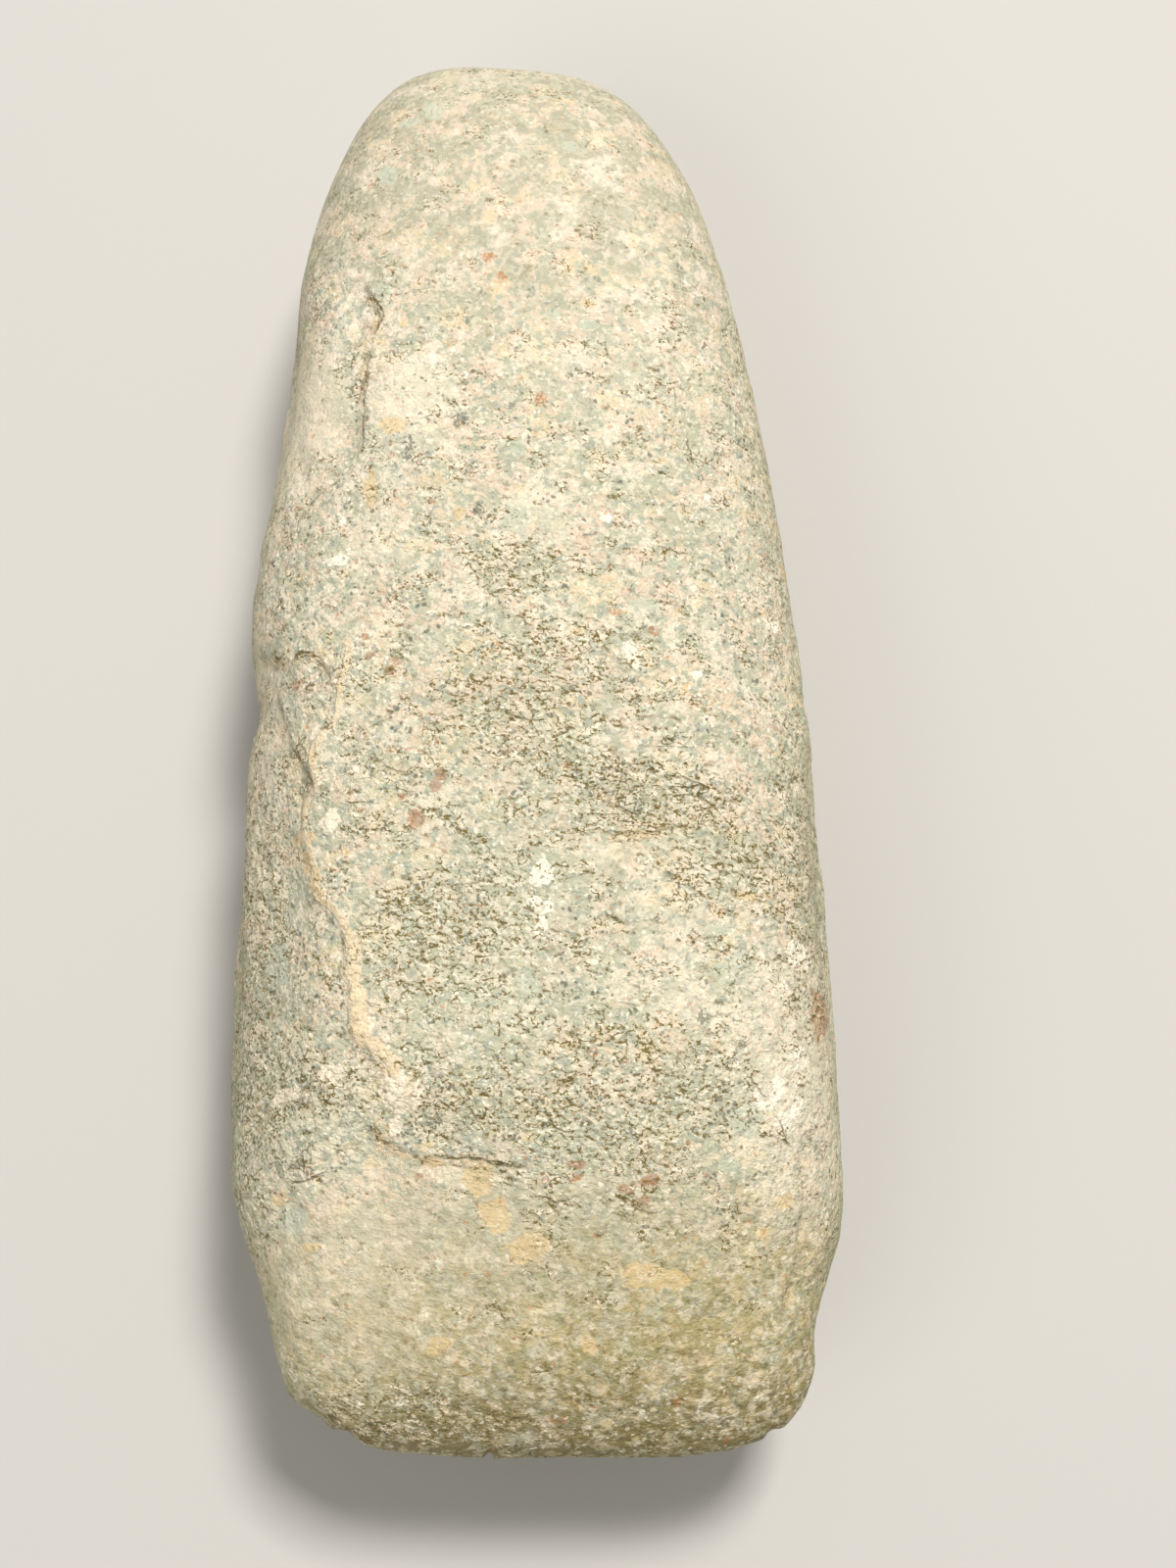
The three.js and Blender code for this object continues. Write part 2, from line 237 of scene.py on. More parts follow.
# Places where the stone is stained or holds a crystal, with the size along and across in
# millimetres.
STAINS = {
    "rust": (
        ((0.782, -0.03), (1.4, 1.3)), ((0.798, -0.068), (1.0, 1.6)), ((0.751, -0.473), (2.3, 0.6)),
        ((0.686, 0.094), (2.1, 1.2)), ((0.65, -0.406), (0.8, 0.8)), ((0.623, -0.38), (0.5, 0.6)),
        ((0.599, -0.214), (0.4, 0.7)), ((0.59, 0.015), (0.5, 0.8)), ((0.537, -0.441), (0.6, 1.2)),
        ((0.522, -0.415), (0.8, 0.9)), ((0.5, -0.722), (1.3, 1.3)), ((0.445, -0.265), (0.9, 0.6)),
        ((0.444, -0.421), (0.7, 1.3)), ((0.535, 0.05), (0.9, 0.9)), ((0.427, 0.14), (1.0, 1.0)),
        ((0.379, 0.143), (0.8, 0.9)), ((0.531, 0.323), (1.1, 1.8)), ((0.518, 0.431), (1.4, 1.3)),
        ((0.391, 0.532), (0.6, 1.1)), ((0.403, 0.416), (0.6, 0.9)), ((0.379, -0.46), (0.4, 0.7)),
        ((0.314, 0.825), (0.9, 1.3)), ((0.292, 0.872), (1.3, 0.7)), ((0.272, 0.92), (4.2, 2.0)),
        ((0.258, 0.918), (0.6, 0.5)), ((0.167, 0.134), (0.8, 1.4)), ((0.226, 0.152), (0.5, 1.0)),
        ((0.291, -0.296), (0.4, 1.0)), ((0.314, -0.326), (0.4, 0.8)), ((0.011, 0.565), (1.2, 0.6)),
        ((0.033, 0.422), (0.9, 0.9)), ((0.025, 0.02), (0.8, 1.2)), ((0.058, -0.243), (0.5, 0.8)),
    ),
    "plum": (
        ((0.659, -0.412), (0.7, 0.8)), ((0.613, -0.274), (0.8, 0.9)), ((0.528, -0.383), (0.6, 0.8)),
        ((0.522, -0.502), (0.7, 0.9)), ((0.508, -0.486), (1.2, 0.9)), ((0.503, -0.397), (1.0, 1.1)),
        ((0.496, -0.429), (0.9, 1.0)), ((0.424, -0.254), (1.4, 1.4)), ((0.415, -0.276), (1.4, 1.4)),
        ((0.411, -0.378), (0.9, 0.9)), ((0.395, -0.348), (2.0, 1.9)), ((0.164, 0.36), (1.2, 1.8)),
        ((0.158, 0.29), (0.9, 1.4)), ((0.152, 0.34), (0.8, 1.2)), ((0.174, 0.13), (1.0, 2.0)),
        ((0.657, -0.155), (0.8, 0.7)), ((0.025, 0.05), (0.8, 1.0)), ((0.167, 0.045), (0.6, 0.8)),
        ((0.242, 0.196), (0.8, 1.0)),
    ),
    "ochre": (
        ((0.673, -0.405), (1.9, 3.1)), ((0.627, -0.472), (3.5, 1.8)), ((0.607, -0.187), (1.9, 1.4)),
        ((0.376, -0.698), (2.7, 1.1)), ((0.353, -0.646), (1.2, 1.6)), ((0.334, -0.571), (1.0, 1.4)),
        ((0.166, -0.8), (1.0, 1.8)), ((0.136, -0.69), (0.9, 2.4)), ((0.168, -0.165), (3.2, 2.6)),
        ((0.147, -0.125), (3.0, 2.6)), ((0.128, -0.03), (2.4, 4.0)), ((0.108, 0.36), (2.2, 6.5)),
        ((0.128, 0.49), (0.8, 1.2)), ((0.133, 0.692), (1.4, 1.2)), ((0.344, 0.684), (1.2, 1.8)),
        ((0.329, 0.601), (1.0, 1.2)), ((0.192, -0.338), (0.8, 2.2)), ((0.182, -0.309), (0.8, 2.2)),
        ((0.203, -0.426), (1.4, 0.8)), ((0.393, -0.705), (1.2, 3.1)), ((0.76, 0.259), (1.2, 1.8)),
        ((0.751, -0.371), (1.0, 1.4)), ((0.068, 0.148), (2.1, 1.4)), ((0.071, -0.3), (1.4, 2.4)),
        ((0.153, 0.764), (2.1, 2.2)), ((0.193, -0.01), (0.8, 1.2)), ((0.464, -0.167), (1.0, 0.8)),
        ((0.482, 0.528), (1.4, 1.0)), ((0.518, 0.188), (0.6, 1.6)), ((0.586, 0.901), (2.5, 0.8)),
        ((0.378, -0.571), (1.0, 1.0)), ((0.254, -0.511), (1.0, 1.4)),
    ),
    "chalk": (
        ((0.357, 0.066), (2.2, 1.7)), ((0.352, 0.035), (1.2, 1.2)), ((0.338, 0.025), (1.3, 1.5)),
        ((0.334, 0.069), (1.2, 1.2)), ((0.323, 0.044), (2.0, 1.3)), ((0.536, 0.831), (1.6, 1.6)),
        ((0.309, 0.843), (2.6, 2.6)), ((0.305, 0.891), (1.8, 1.4)), ((0.214, 0.723), (2.0, 2.0)),
        ((0.21, 0.815), (2.4, 1.4)), ((0.224, 0.77), (2.0, 1.2)), ((0.202, 0.774), (1.8, 1.6)),
        ((0.24, 0.83), (2.2, 1.6)), ((0.58, -0.598), (1.2, 2.7)), ((0.502, 0.358), (2.7, 1.2)),
        ((0.72, -0.262), (1.4, 0.9)), ((0.727, -0.196), (0.8, 0.9)), ((0.707, -0.171), (1.0, 0.8)),
        ((0.237, -0.33), (0.8, 1.6)), ((0.601, -0.814), (0.8, 0.6)), ((0.599, 0.297), (1.2, 1.4)),
        ((0.62, 0.626), (0.8, 0.9)), ((0.339, -0.285), (0.8, 1.2)), ((0.607, -0.589), (0.9, 1.0)),
        ((0.287, 0.796), (1.2, 1.0)), ((0.491, 0.561), (1.0, 1.0)), ((0.695, 0.807), (0.8, 0.8)),
    ),
    "crystal": (
        ((0.652, 0.016), (2.1, 1.7)), ((0.6, -0.006), (3.1, 3.1)), ((0.741, 0.256), (1.8, 2.4)),
        ((0.539, 0.403), (1.6, 3.3)), ((0.338, -0.257), (1.6, 2.9)), ((0.332, -0.355), (2.3, 1.6)),
        ((0.314, -0.802), (5.8, 2.4)), ((0.271, -0.802), (3.5, 0.9)), ((0.511, 0.325), (1.9, 1.4)),
        ((0.752, 0.142), (1.4, 1.6)), ((0.567, 0.515), (1.2, 1.8)), ((0.294, 0.639), (2.7, 4.1)),
        ((0.32, 0.599), (1.2, 2.4)), ((0.202, 0.655), (3.1, 3.5)), ((0.172, 0.597), (1.6, 2.2)),
        ((0.222, 0.485), (1.0, 2.4)), ((0.26, -0.652), (1.4, 1.8)), ((0.238, -0.72), (1.6, 2.0)),
        ((0.928, -0.267), (2.7, 2.7)), ((0.922, -0.355), (1.4, 1.8)), ((0.875, -0.422), (2.1, 2.0)),
        ((0.89, 0.211), (1.6, 1.4)), ((0.78, -0.438), (2.7, 1.4)), ((0.763, -0.595), (1.6, 1.6)),
        ((0.152, -0.746), (2.1, 3.1)), ((0.289, 0.003), (2.5, 2.0)), ((0.281, -0.177), (1.4, 2.4)),
    ),
    "dark": (
        ((0.475, 0.472), (0.9, 1.0)), ((0.484, 0.339), (0.9, 1.5)), ((0.473, 0.573), (0.9, 1.1)),
        ((0.491, 0.215), (0.6, 1.3)), ((0.485, -0.237), (0.7, 1.1)), ((0.609, -0.126), (1.0, 1.2)),
        ((0.674, -0.176), (1.6, 1.4)), ((0.65, -0.357), (0.9, 1.1)), ((0.659, -0.35), (0.8, 1.1)),
        ((0.354, 0.462), (1.2, 1.3)), ((0.341, 0.533), (0.7, 1.3)), ((0.266, 0.534), (1.2, 1.0)),
        ((0.224, -0.697), (0.9, 0.9)), ((0.187, -0.727), (0.9, 0.9)), ((0.206, -0.284), (0.9, 1.0)),
        ((0.319, -0.341), (0.9, 1.3)), ((0.316, -0.192), (0.7, 1.3)), ((0.248, 0.665), (0.9, 1.2)),
        ((0.683, -0.004), (0.9, 0.9)), ((0.705, 0.184), (0.8, 1.0)), ((0.415, -0.011), (1.0, 1.0)),
    ),
    "cream": (
        ((0.224, -0.411), (3.4, 3.8)), ((0.202, -0.425), (1.8, 1.0)), ((0.215, -0.40), (2.2, 1.6)),
        ((0.238, -0.62), (2.0, 2.8)), ((0.228, -0.76), (1.4, 2.6)), ((0.265, -0.50), (2.0, 1.4)),
        ((0.40, -0.60), (2.4, 1.6)), ((0.221, -0.395), (3.0, 4.4)), ((0.231, -0.43), (2.4, 2.4)),
    ),
}

# Where the pecking is coarse and the surface broken: a place, and its sizes along and across
# in millimetres.
BROKEN_SPOTS = (
    ((0.408, 0.42), (9.0, 22.0)),
    ((0.402, 0.40), (5.0, 18.0)),
    ((0.43, 0.12), (5.0, 14.0)),
    ((0.235, -0.72), (8.0, 22.0)),
    ((0.212, -0.2), (8.0, 22.0)),
    ((0.32, -0.3), (14.0, 20.0)),
    ((0.46, -0.05), (10.0, 20.0)),
    ((0.22, 0.35), (16.0, 26.0)),
    ((0.50, 0.1), (10.0, 24.0)),
    ((0.565, 0.0), (8.0, 16.0)),
    ((0.36, 0.62), (12.0, 16.0)),
    ((0.03, -0.4), (6.0, 24.0)),
    ((0.34, -0.88), (56.0, 9.0)),
    ((0.34, 0.86), (44.0, 7.0)),
)

# Broad zones in the same way, each with its strength: about 1 where the pale weathered skin
# is worn off the grey-green stone, about -1 where it is whole and pale.
WORN_ZONES = (
    ((0.97, -0.05), (16.0, 36.0), 0.8),
    ((0.87, -0.35), (14.0, 16.0), 0.4),
    ((0.33, 0.05), (54.0, 42.0), 0.8),
    ((0.225, -0.74), (14.0, 16.0), 0.9),
    ((0.56, -0.82), (14.0, 12.0), 0.6),
    ((0.21, -0.92), (32.0, 12.0), 0.9),
    ((0.135, 0.20), (26.0, 30.0), 1.2),
    ((0.26, -0.18), (26.0, 20.0), 0.6),
    ((0.36, 0.02), (18.0, 18.0), 0.6),
    ((0.70, -0.74), (22.0, 12.0), -0.9),
    ((0.33, 0.42), (24.0, 14.0), -0.9),
    ((0.85, 0.25), (18.0, 26.0), -0.1),
    ((0.69, -0.33), (12.0, 12.0), -1.1),
    ((0.72, 0.35), (18.0, 24.0), -0.3),
    ((0.60, 0.05), (9.0, 12.0), -0.6),
    ((0.59, -0.46), (9.0, 9.0), -0.8),
    ((0.22, 0.80), (36.0, 14.0), -0.8),
    ((0.12, -0.60), (22.0, 22.0), -0.5),
    ((0.04, 0.62), (12.0, 20.0), -1.2),
    ((0.80, -0.22), (12.0, 14.0), 0.5),
    ((0.76, 0.22), (10.0, 14.0), 0.4),
    ((0.45, -0.50), (16.0, 9.0), 0.6),
    ((0.265, 0.45), (9.0, 12.0), -0.7),
    ((0.53, -0.90), (56.0, 9.0), -0.6),
)

# Where the stone was ground smooth rather than pecked, in the same way.
GROUND_SPOTS = (
    ((0.09, 0.0), (26.0, 70.0)),
    ((0.125, -0.42), (22.0, 30.0)),
    ((0.70, -0.72), (22.0, 12.0)),
    ((0.363, 0.3), (6.0, 15.0)),
    ((0.46, -0.85), (9.0, 7.0)),
    ((0.90, 0.05), (64.0, 70.0)),
)


def linear_colour(hex_code):
    """The linear colour with alpha of an sRGB hex value such as #C9BF9F."""
    channels = [int(hex_code[i : i + 2], 16) / 255 for i in (1, 3, 5)]
    linear = [c / 12.92 if c <= 0.04045 else ((c + 0.055) / 1.055) ** 2.4 for c in channels]
    return (*linear, 1.0)


def colour_property(name, hex_code, description):
    """A colour that the user can change, with its sRGB default."""
    return bpy.props.FloatVectorProperty(
        name=name,
        description=description,
        subtype="COLOR",
        size=4,
        min=0.0,
        max=1.0,
        default=linear_colour(hex_code),
    )


def length_property(name, millimetres, description):
    """A length that the user can change, with its default in millimetres."""
    return bpy.props.FloatProperty(
        name=name,
        description=description,
        unit="LENGTH",
        precision=5,
        min=0.0,
        default=millimetres * MM,
    )


class ReliefSizes(bpy.types.PropertyGroup):
    """Sizes of the stone's fine relief."""

    mesh_step: length_property("Mesh step", 0.56, "Spacing of the points of the dressed stone")
    wobble: length_property("Wobble", 0.6, "How far the lines of the scars wander")
    swell: length_property("Swell", 0.2, "Height of the broad unevenness left by pecking")
    peck_size: length_property("Peck size", 2.1, "Width of one peck mark")
    peck_depth: length_property("Peck depth", 0.28, "Depth of one peck mark")
    grit_size: length_property("Grit size", 1.6, "Width of the roughness between the peck marks")
    grit_depth: length_property("Grit depth", 0.5, "Depth of the roughness between the peck marks")
    seed: bpy.props.IntProperty(name="Seed", description="Layout of the peck marks", default=7)


class StoneColours(bpy.types.PropertyGroup):
    """Colours of the stone, its minerals and its stains."""

    skin: colour_property("Skin", "#E8D9C6", "Pale weathered skin of the stone")
    blade_skin: colour_property("Blade skin", "#E5DABD", "Greener skin towards the blade")
    peach: colour_property("Peach", "#DCC5AC", "Pinkish patches of the skin")
    yellow: colour_property("Yellow", "#E3D0A0", "Yellowish patches of the skin")
    bare: colour_property("Bare", "#A7A089", "Stone laid bare where it was ground")
    grey_green: colour_property("Grey green", "#B4B69D", "Patches where the green stone shows")
    blue_grey: colour_property("Blue grey", "#9DA599", "Small cool grains")
    cream: colour_property("Cream", "#F2E6CE", "Small pale grains")
    dark_green: colour_property("Dark green", "#4A5147", "Dark grains")
    flank: colour_property("Flank", "#ABAB7C", "Darker stone of the sides")
    plum: colour_property("Plum", "#A5846C", "Purplish brown stains")
    olive: colour_property("Olive", "#9C905A", "Yellowish green tint of the bevel")
    # Also the colour of the painted shade under the crust's ledges and creases and along the scarps' seams
    pit: colour_property("Pit", "#736434", "Dirt in the bottom of the pits")
    rust: colour_property("Rust", "#AE6C2E", "Iron stains")
    ochre: colour_property("Ochre", "#DEC08A", "Yellowish stains and the vein")
    chalk: colour_property("Chalk", "#F5EDD8", "White grains")
    crystal: colour_property("Crystal", "#BEC4AF", "Large pale blue-green grains")


class StudioSettings(bpy.types.PropertyGroup):
    """Camera and lights."""

    lens: bpy.props.FloatProperty(
        name="Lens", description="Focal length on a 36 mm high sensor", unit="CAMERA", default=50.0
    )
    distance: length_property("Distance", 226.4, "From the camera to the middle of the stone")
    elevation: bpy.props.FloatProperty(
        name="Elevation",
        description="How steeply the camera looks down",
        subtype="ANGLE",
        default=math.radians(74.0),
    )
    heading: bpy.props.FloatProperty(
        name="Heading",
        description="How far the camera's heading is turned to the right of +Y",
        subtype="ANGLE",
        default=math.radians(1.87),
    )
    target: bpy.props.FloatVectorProperty(
        name="Target",
        description="Point that the camera looks at",
        subtype="TRANSLATION",
        unit="LENGTH",
        precision=5,
        default=(6.36 * MM, -7.76 * MM, 19.0 * MM),
    )
    key_power: bpy.props.FloatProperty(
        name="Key light", description="Power of the main light", unit="POWER", default=11.3
    )
    fill_power: bpy.props.FloatProperty(
        name="Fill light", description="Power of the soft front light", unit="POWER", default=2.6
    )
    floor_colour: colour_property("Floor", "#BFBDB8", "Pale matt floor")


# Where the lights stand and what they face, the side of each square light and of the floor,
# in metres, and the tint of each light
LIGHTS = {
    "key": {"at": (0.24, 0.34, 0.92), "size": 0.25, "tint": (1.0, 0.97, 0.93)},
    "fill": {"at": (-0.5, -0.5, 0.7), "size": 0.6, "tint": (1.0, 0.99, 0.96)},
}
LIT_POINT = (0.0, 0.0, 0.02)
FLOOR_SIZE = 3.0
SKY_TINT = (1.0, 0.99, 0.97, 1.0)
SKY_STRENGTH = 0.32


def place(share):
    """The point in the plan, in metres, of a place given as shares along and across."""
    along, across = share
    return np.array((across * HALF_WIDTH, BOX_LOW.y + along * LENGTH))


def noise_field(points, size, seed, octaves=3):
    """Fractal noise from about -1 to 1 at each point, with a given size in metres."""
    shift = Vector((seed * 7.31, seed * 3.17, seed * 1.93))
    scaled = [Vector(p) / size + shift for p in points]
    return np.array([noise.fractal(p, 0.9, 2.1, octaves) for p in scaled])


def smooth_step(low, high, value):
    """0 below low, 1 above high and a smooth rise between them."""
    t = np.clip((value - low) / (high - low), 0.0, 1.0)
    return t * t * (3.0 - 2.0 * t)


def path_distance(plan, path):
    """Distance of each plan point to a path, negative on its right, and the gap past its ends."""
    corners = [place(p) for p in path]
    nearest = np.full(len(plan), np.inf)
    signed = np.zeros(len(plan))
    gap = np.zeros(len(plan))
    last = len(corners) - 2
    for i, (start, end) in enumerate(zip(corners, corners[1:])):
        step = end - start
        span = np.hypot(*step)
        away = plan - start
        t = away @ step / span**2
        foot = start + np.outer(np.clip(t, 0.0, 1.0), step)
        distance = np.hypot(*(plan - foot).T)
        side = np.sign(step[0] * away[:, 1] - step[1] * away[:, 0])
        past = np.zeros(len(plan))
        if i == 0:
            past += np.maximum(0.0, -t) * span
        if i == last:
            past += np.maximum(0.0, t - 1.0) * span
        closer = distance < nearest
        nearest[closer] = distance[closer]
        signed[closer] = (side * distance)[closer]
        gap[closer] = past[closer]
    return signed, gap


def scarp_depth(plan, scarp):
    """Depth of a scarp's low ground below the old surface at each plan point."""
    lip = LIP_WIDTH * MM
    reach = scarp["reach"] * MM
    signed, gap = path_distance(plan, scarp["path"])
    step = smooth_step(-lip, lip, signed)
    run_out = np.exp(-np.maximum(signed, 0.0) / reach)
    ends = np.exp(-((2.0 * gap / reach) ** 2))
    return scarp["drop"] * MM * step * run_out * ends


def spot_level(plan, at, size):
    """1 in the middle of an oval spot, 0 at its rim and negative outside, at each plan point."""
    away = (plan - place(at)) / (np.array((size[1], size[0])) * MM / 2)
    return 1.0 - (away**2).sum(axis=1)


def spot_share(plan, at, size):
    """1 in the middle of an oval spot, falling to 0 at its rim and staying 0 outside."""
    return np.clip(spot_level(plan, at, size), 0.0, 1.0)


def nearest_line(plan, paths):
    """Distance to the nearest of several paths, negative on its right, the gap and its number."""
    found = [path_distance(plan, path) for path in paths]
    number = np.argmin([np.hypot(signed, gap) for signed, gap in found], axis=0)
    point = np.arange(len(plan))
    signed = np.array([signed for signed, gap in found])[number, point]
    gap = np.array([gap for signed, gap in found])[number, point]
    return signed, gap, number


def merged_copy(node, name):
    """A new object with a copy of a node's mesh, its loose triangles joined at their corners."""
    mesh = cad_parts[node].data.copy()
    mesh.name = name
    shell = bmesh.new()
    shell.from_mesh(mesh)
    bmesh.ops.remove_doubles(shell, verts=shell.verts, dist=0.01 * MM)
    bmesh.ops.join_triangles(
        shell,
        faces=shell.faces,
        angle_face_threshold=math.radians(40),
        angle_shape_threshold=math.radians(60),
    )
    shell.to_mesh(mesh)
    shell.free()
    mesh.materials.clear()
    stone = bpy.data.objects.new(name, mesh)
    bpy.context.scene.collection.objects.link(stone)
    return stone


def apply_modifiers(stone):
    """Turns an object's evaluated form into its plain mesh, and removes its modifiers."""
    graph = bpy.context.evaluated_depsgraph_get()
    mesh = bpy.data.meshes.new_from_object(
        stone.evaluated_get(graph), preserve_all_data_layers=True, depsgraph=graph
    )
    stone.modifiers.clear()
    old = stone.data
    stone.data = mesh
    bpy.data.meshes.remove(old)


def refine(stone, step):
    """Gives the stone an even mesh, without the flat facets of the solid, in the solid's box."""
    rounding = stone.modifiers.new("Rounding", "SUBSURF")
    rounding.levels = ROUNDING_LEVELS
    rounding.render_levels = ROUNDING_LEVELS
    even = stone.modifiers.new("Even mesh", "REMESH")
    even.mode = "VOXEL"
    even.voxel_size = step
    relax = stone.modifiers.new("Relax", "SMOOTH")
    relax.factor = RELAX_FACTOR
    relax.iterations = RELAX_ROUNDS
    apply_modifiers(stone)
    points = get_points(stone)
    low, high = points.min(axis=0), points.max(axis=0)
    box_low, box_high = np.array(BOX_LOW), np.array(BOX_HIGH)
    points = box_low + (points - low) * (box_high - box_low) / (high - low)
    set_points(stone, points)


def get_points(stone):
    """The mesh's points as an array."""
    points = np.zeros(len(stone.data.vertices) * 3)
    stone.data.vertices.foreach_get("co", points)
    return points.reshape(-1, 3)


def get_normals(stone):
    """The mesh's smooth normals as an array."""
    normals = np.zeros(len(stone.data.vertices) * 3)
    stone.data.vertex_normals.foreach_get("vector", normals)
    return normals.reshape(-1, 3)


def set_points(stone, points):
    """Moves the mesh's points, keeping them on or above the floor."""
    points[:, 2] = np.maximum(points[:, 2], 0.0)
    stone.data.vertices.foreach_set("co", points.ravel())
    stone.data.update()


def set_attribute(stone, name, values):
    """Stores one number for each point under a name that the materials read."""
    attribute = stone.data.attributes.new(name, "FLOAT", "POINT")
    attribute.data.foreach_set("value", values.astype(np.float32))


def carve(stone, sizes):
    """Sinks the scars and hollows, raises the vein, and stores what the skin depends on."""
    points = get_points(stone)
    normals = get_normals(stone)
    plan = points[:, :2].copy()
    for axis in range(2):
        wobble = noise_field(points, WOBBLE_SIZE * MM, WOBBLE_SEED + axis, octaves=4)
        plan[:, axis] += sizes.wobble * wobble
    upper = smooth_step(-0.35, 0.0, normals[:, 2])
    uneven = 1.0 + 1.3 * noise_field(points, UNEVEN_SIZE * MM, UNEVEN_SEED, octaves=2)
    height = -sum(scarp_depth(plan, scarp) for scarp in SCARPS) * upper * np.clip(uneven, 0.15, 1.8)
    for hollow in HOLLOWS:
        height -= hollow["deep"] * MM * spot_share(plan, hollow["at"], hollow["size"])
    signed, gap = path_distance(plan, VEIN)
    vein = np.exp(-((signed / (VEIN_WIDTH * MM)) ** 2) - (gap / MM) ** 2) * upper
    height += VEIN_HEIGHT * MM * vein
    height += sizes.swell * noise_field(points, SWELL_SIZE * MM, SWELL_SEED, octaves=2)
    set_points(stone, points + normals * height[:, None])
    along = (points[:, 1] - BOX_LOW.y) / LENGTH
    store_lines(stone, plan, along, upper)
    store_zones(stone, plan, along, upper)
    set_attribute(stone, "flank", 1.0 - smooth_step(0.15, 0.75, np.abs(normals[:, 2])))
    for kind, spots in STAINS.items():
        level = np.max([spot_level(plan, at, size) for at, size in spots], axis=0)
        level = np.maximum(level, FAR_LEVEL) * upper + FAR_LEVEL * (1.0 - upper)
        set_attribute(stone, kind, level)


def store_lines(stone, plan, along, upper):
    """Stores the distance to the vein, the scarps and the cracks, and how far each shows."""
    signed, gap = path_distance(plan, VEIN)
    # The vein is narrower towards the butt
    narrow = 1.0 + 1.4 * smooth_step(0.31, 0.36, along)
    set_attribute(stone, "vein_line", signed * narrow)
    set_attribute(stone, "vein_share", np.exp(-((gap / (LINE_FADE * MM)) ** 2)) * upper)

    signed, gap, number = nearest_line(plan, [scarp["path"] for scarp in SCARPS])
    # Each scarp's share of painted shade along its foot, which also scales its lips and rubbed border
    foot_shade = np.array([scarp["dirt_and_painted_shade"] for scarp in SCARPS])[number]
    near = smooth_step(4.0 * MM, 2.0 * MM, np.abs(signed))
    share = foot_shade * np.exp(-((gap / (LINE_FADE * MM)) ** 2)) * near
    set_attribute(stone, "scarp_line", signed)
    set_attribute(stone, "scarp_share", np.clip(share * upper, 0.0, 1.0))

    signed, gap, number = nearest_line(plan, CRACKS)
    set_attribute(stone, "crack_line", signed)
    set_attribute(stone, "crack_share", np.exp(-((gap / (CRACK_FADE * MM)) ** 2)) * upper)


def store_zones(stone, plan, along, upper):
    """Stores how ground, broken, worn and olive the stone is, and how far from its edge."""
    ground = sum(spot_share(plan, at, size) for at, size in GROUND_SPOTS)
    broken = sum(spot_share(plan, at, size) for at, size in BROKEN_SPOTS)
    broken = np.clip(broken, 0.0, 1.0) * upper
    worn = sum(strength * spot_share(plan, at, size) for at, size, strength in WORN_ZONES)
    from_edge = along * LENGTH / MM
    right = smooth_step(-0.6, 0.4, plan[:, 0] / HALF_WIDTH)
    set_attribute(stone, "broken", broken)
    set_attribute(stone, "ground", smooth_step(0.0, 0.9, ground) * (1.0 - broken))
    set_attribute(stone, "worn", np.clip(worn, -1.0, WORN_LIMIT) * upper)
    set_attribute(stone, "from_edge", from_edge)
    set_attribute(stone, "olive", smooth_step(30.0, 8.0, from_edge) * (0.5 + 0.5 * right))


def add_node(tree, kind, inputs=None, **settings):
    """Adds a node, sets its properties, and sets or links its inputs by name or number."""
    node = tree.nodes.new(kind)
    for key, value in settings.items():
        setattr(node, key, value)
    for key, value in (inputs or {}).items():
        if isinstance(value, bpy.types.NodeSocket):
            tree.links.new(value, node.inputs[key])
        else:
            node.inputs[key].default_value = value
    return node


def add_result(tree, kind, inputs=None, **settings):
    """Adds a node in the same way, and gives its first output."""
    return add_node(tree, kind, inputs, **settings).outputs[0]


def product(tree, *values):
    """The product of several values or masks."""
    total = values[0]
    for value in values[1:]:
        total = add_result(tree, "ShaderNodeMath", {0: total, 1: value}, operation="MULTIPLY")
    return total


def weighted_sum(tree, total, *terms):
    """A value with others added to it, each given with its factor."""
    for value, factor in terms:
        inputs = {0: value, 1: factor, 2: total}
        total = add_result(tree, "ShaderNodeMath", inputs, operation="MULTIPLY_ADD")
    return total


